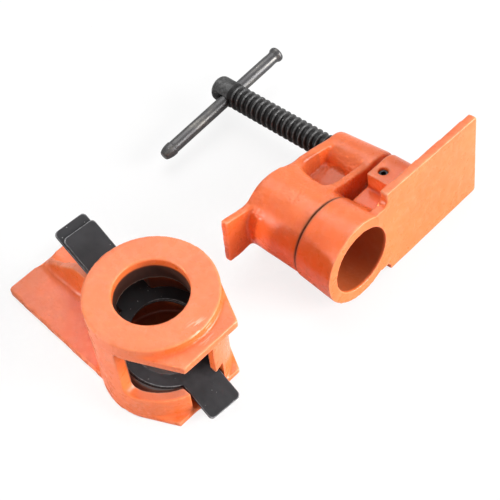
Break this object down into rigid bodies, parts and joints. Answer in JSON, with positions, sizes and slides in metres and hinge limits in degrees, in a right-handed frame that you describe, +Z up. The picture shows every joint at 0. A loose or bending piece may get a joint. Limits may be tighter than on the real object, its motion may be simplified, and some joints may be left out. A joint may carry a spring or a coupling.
{
  "type": "woodworking pipe clamp",
  "caption": "Woodworking pipe clamp fittings: screw head with sliding jaw and tommy bar, and a tail stop with tilting clutch plates, for a standard steel pipe.",
  "frame": {"origin": "centre of the tail stop's pipe bore at its jaw face, on the floor it stands on; the head end lies beside it", "axes": "+X from the tommy bar toward the sliding jaw's face, +Y from the tail stop toward the head end, +Z up"},
  "size_m": [0.1155, 0.1678, 0.0472],
  "materials": {
    "head_casting": "gloss enamel over cast iron",
    "sliding_jaw": "gloss enamel over cast iron",
    "tail_casting": "gloss enamel over cast iron",
    "spindle": "black oxide",
    "tommy_bar": "black oxide, worn",
    "jaw_grub_screw": "black oxide",
    "clutch_plate_lower": "black oxide",
    "clutch_plate_upper": "black oxide",
    "clutch_spring": "plain spring steel"
  },
  "bodies": {
    "head": {"head_casting": "head_casting"},
    "jaw": {"sliding_jaw": "sliding_jaw", "jaw_grub_screw": "jaw_grub_screw"},
    "screw": {"spindle": "spindle"},
    "handle": {"tommy_bar": "tommy_bar"},
    "tail": {"tail_casting": "tail_casting", "clutch_spring": "clutch_spring"},
    "clutch_lower": {"clutch_plate_lower": "clutch_plate_lower"},
    "clutch_upper": {"clutch_plate_upper": "clutch_plate_upper"}
  },
  "joints": [
    {"name": "jaw_slide", "type": "slide", "parent": "head", "child": "jaw", "axis": [0.9961, 0, 0.0885], "range_m": [0, 0.05]},
    {"name": "spindle_turn", "type": "hinge", "parent": "jaw", "child": "screw", "pos_m": [-0.02586, 0.1101, 0.01543], "axis": [0.9961, 0, 0.0885], "range_deg": [0, 6000]},
    {"name": "tommy_bar_slide", "type": "slide", "parent": "screw", "child": "handle", "axis": [-0.0079, 0.996, 0.0885], "range_m": [-0.0212, 0.0306]},
    {"name": "clutch_lower_tilt", "type": "hinge", "parent": "tail", "child": "clutch_lower", "pos_m": [0.024, 0, 0.005], "axis": [0, -1, 0], "range_deg": [0, 8.5], "stiffness_Nm_per_rad": 6, "springref_deg": -1.15, "deforming": ["clutch_spring"]},
    {"name": "clutch_upper_tilt", "type": "hinge", "parent": "tail", "child": "clutch_upper", "pos_m": [0.024, 0, 0.005], "axis": [0, -1, 0], "range_deg": [0, 8.5]},
    {"name": "tail_stop_lift", "type": "slide", "parent": "head", "child": "tail", "axis": [0, 0, 1], "range_m": [0, 0.1]}
  ],
  "couplings": [
    {"joint": "spindle_turn", "follows": "jaw_slide", "rad_per_m": 2094.4},
    {"joint": "clutch_upper_tilt", "follows": "clutch_lower_tilt", "ratio": 1}
  ]
}
